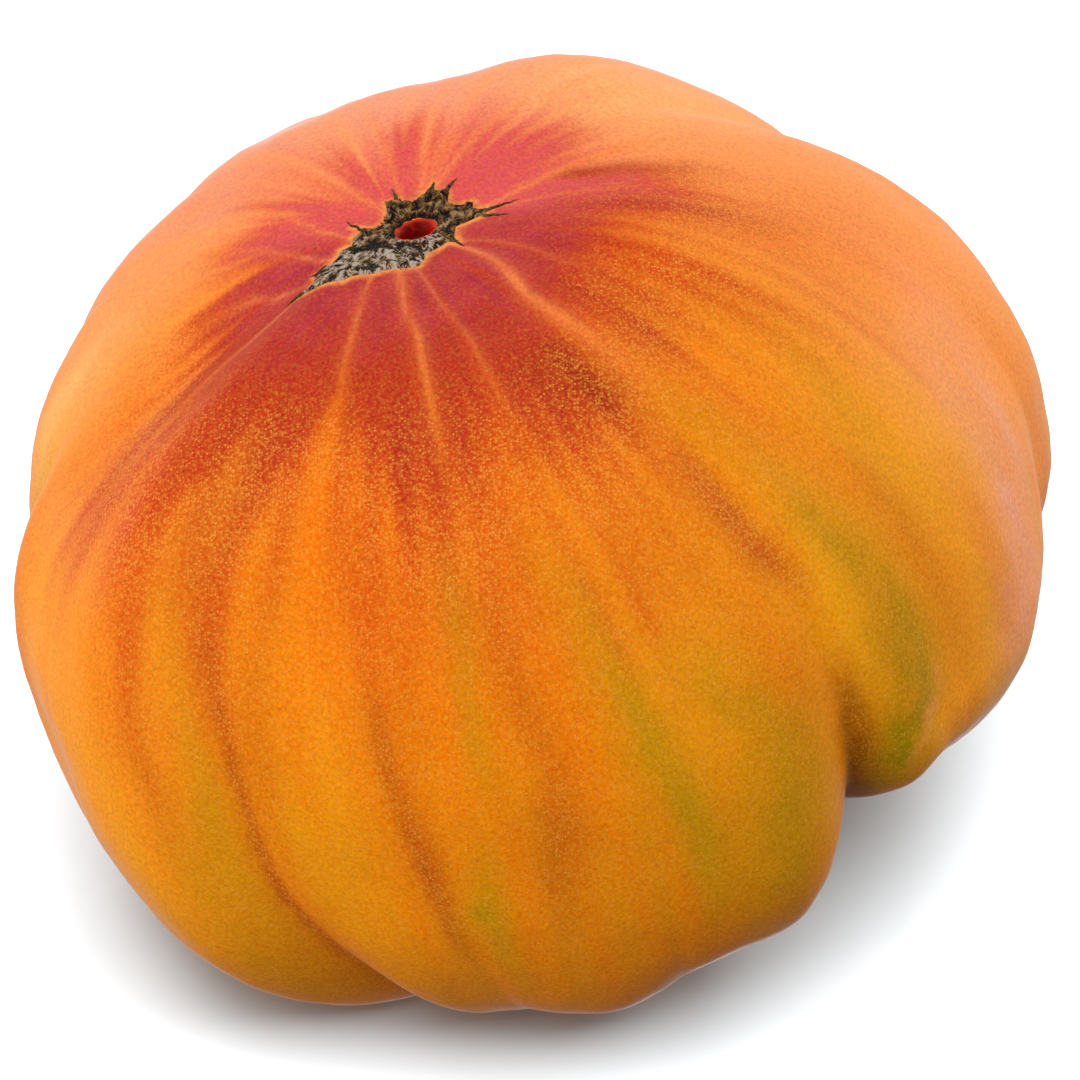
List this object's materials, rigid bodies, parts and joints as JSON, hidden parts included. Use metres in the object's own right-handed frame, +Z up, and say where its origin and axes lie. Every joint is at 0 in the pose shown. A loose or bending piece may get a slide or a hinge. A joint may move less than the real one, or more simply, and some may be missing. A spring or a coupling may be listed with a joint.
{
  "type": "tomato",
  "caption": "Large ripe ribbed beefsteak tomato, streaked orange, red and green, resting on its stem end with the corky blossom scar up.",
  "frame": {"origin": "middle of the fruit's bounding box, on the surface that it rests on", "axes": "+X to the fruit's right as the picture shows it, along its longest extent; -Y to the front, where the picture was taken from; +Z up, its shortest extent"},
  "size_m": [0.11, 0.1008, 0.0781],
  "materials": {
    "skin": "satin skin, orange with red and green streaks"
  },
  "bodies": {
    "root": {"tomato": "skin"}
  },
  "joints": []
}
